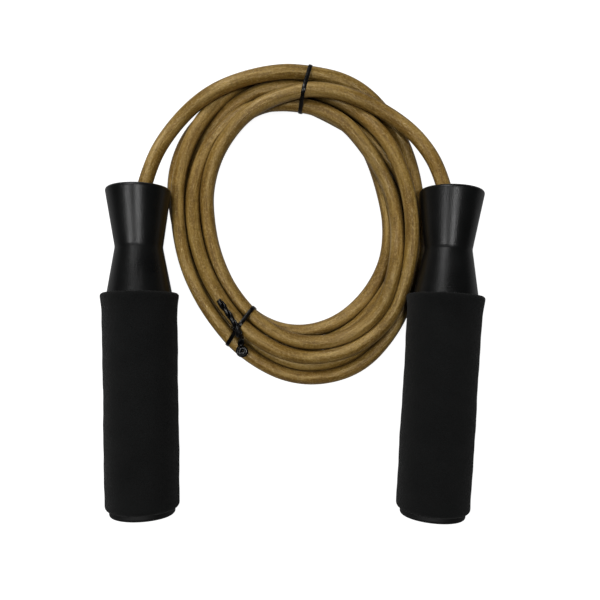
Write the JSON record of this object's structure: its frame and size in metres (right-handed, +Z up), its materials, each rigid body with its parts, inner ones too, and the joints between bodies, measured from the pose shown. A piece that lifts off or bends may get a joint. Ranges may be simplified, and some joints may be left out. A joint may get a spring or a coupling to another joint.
{
  "type": "jump rope",
  "caption": "Coiled and tied leather jump rope with foam-grip handles that swivel on ball bearings.",
  "frame": {"origin": "on the floor, under the middle of the two handles' bounding box", "axes": "+X across from the left handle to the right one, +Y from the handles' butts towards their mouths, +Z up from the floor"},
  "size_m": [0.196, 0.2388, 0.038],
  "materials": {
    "handle_plastic": "satin black moulded plastic",
    "grip_foam": "matt black closed-cell foam with a fine grain",
    "cap_plastic": "matt black moulded plastic",
    "bush_nylon": "smooth black nylon",
    "bearing_steel": "ground bearing steel",
    "spindle_brass": "turned brass",
    "ferrule_aluminium": "crimped aluminium",
    "rope_leather": "round tan leather cord, fine grain and a soft sheen",
    "tie_plastic": "black plastic-coated tie wire"
  },
  "bodies": {
    "rope": {"rope_coil": "rope_leather", "rope_lead_left": "rope_leather", "rope_lead_right": "rope_leather", "wire_tie_top": "tie_plastic", "wire_tie_bottom": "tie_plastic", "bearing_inner_race_left": "bearing_steel", "spindle_left": "spindle_brass", "thrust_washer_left": "bearing_steel", "rope_ferrule_left": "ferrule_aluminium", "bearing_inner_race_right": "bearing_steel", "spindle_right": "spindle_brass", "thrust_washer_right": "bearing_steel", "rope_ferrule_right": "ferrule_aluminium"},
    "handle_left": {"handle_shell_left": "handle_plastic", "foam_grip_left": "grip_foam", "end_cap_left": "cap_plastic", "mouth_bush_left": "bush_nylon", "bearing_outer_race_left": "bearing_steel"},
    "ball_set_left": {"bearing_balls_left": "bearing_steel", "bearing_cage_left": "spindle_brass"},
    "handle_right": {"handle_shell_right": "handle_plastic", "foam_grip_right": "grip_foam", "end_cap_right": "cap_plastic", "mouth_bush_right": "bush_nylon", "bearing_outer_race_right": "bearing_steel"},
    "ball_set_right": {"bearing_balls_right": "bearing_steel", "bearing_cage_right": "spindle_brass"}
  },
  "joints": [
    {"name": "left_handle_swivel", "type": "hinge", "parent": "rope", "child": "handle_left", "pos_m": [-0.07936, 0.0671, 0.019], "axis": [-0.014, 0.9999, 0], "continuous": true},
    {"name": "left_ball_set_roll", "type": "hinge", "parent": "rope", "child": "ball_set_left", "pos_m": [-0.07936, 0.0671, 0.019], "axis": [-0.014, 0.9999, 0], "continuous": true},
    {"name": "right_handle_swivel", "type": "hinge", "parent": "rope", "child": "handle_right", "pos_m": [0.08086, 0.06603, 0.019], "axis": [0.061, 0.9981, 0], "continuous": true},
    {"name": "right_ball_set_roll", "type": "hinge", "parent": "rope", "child": "ball_set_right", "pos_m": [0.08086, 0.06603, 0.019], "axis": [0.061, 0.9981, 0], "continuous": true}
  ],
  "couplings": [
    {"joint": "left_ball_set_roll", "follows": "left_handle_swivel", "ratio": 0.59375},
    {"joint": "right_ball_set_roll", "follows": "right_handle_swivel", "ratio": 0.59375}
  ]
}
